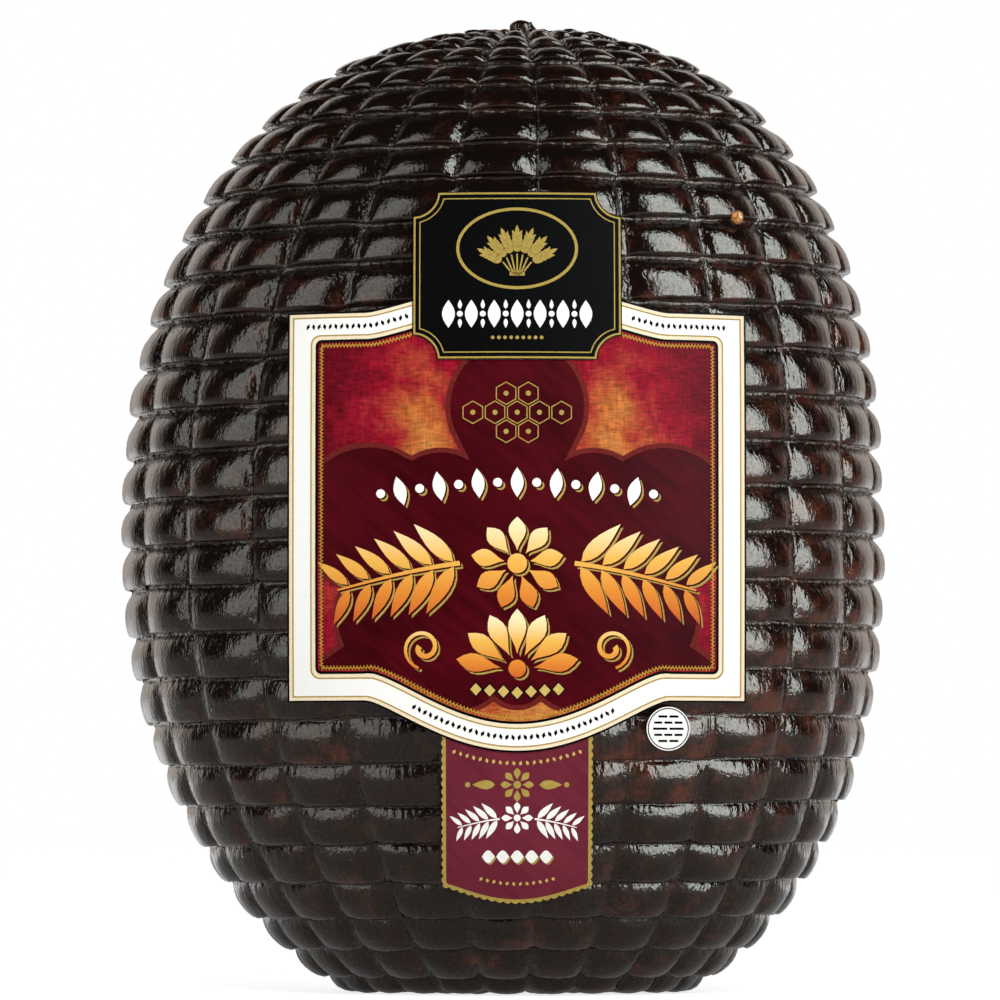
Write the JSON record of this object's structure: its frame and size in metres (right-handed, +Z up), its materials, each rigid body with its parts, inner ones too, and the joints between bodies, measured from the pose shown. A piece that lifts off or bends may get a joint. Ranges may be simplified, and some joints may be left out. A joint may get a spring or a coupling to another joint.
{
  "type": "glazed ham",
  "caption": "Whole glazed boneless ham with a quilted, net-marked dark skin, standing on a flat end, with printed film labels on its front.",
  "frame": {"origin": "centre of the flat base that the ham stands on", "axes": "+Z up along the ham's length; the labelled front faces -Y and +X is to the right of someone looking at it"},
  "size_m": [0.2099, 0.2051, 0.2659],
  "materials": {
    "ham_skin": "dark brown glossy glaze over smoked skin",
    "main_film": "satin printed label film in maroon, orange, cream and gold",
    "plaque_film": "satin printed label film in black and gold",
    "tail_film": "satin printed label film in maroon with gold edges",
    "seal_film": "satin white label film with a thin black ring"
  },
  "bodies": {
    "root": {"ham": "ham_skin", "main_label": "main_film", "plaque_label": "plaque_film", "tail_label": "tail_film", "round_seal": "seal_film"}
  },
  "joints": []
}
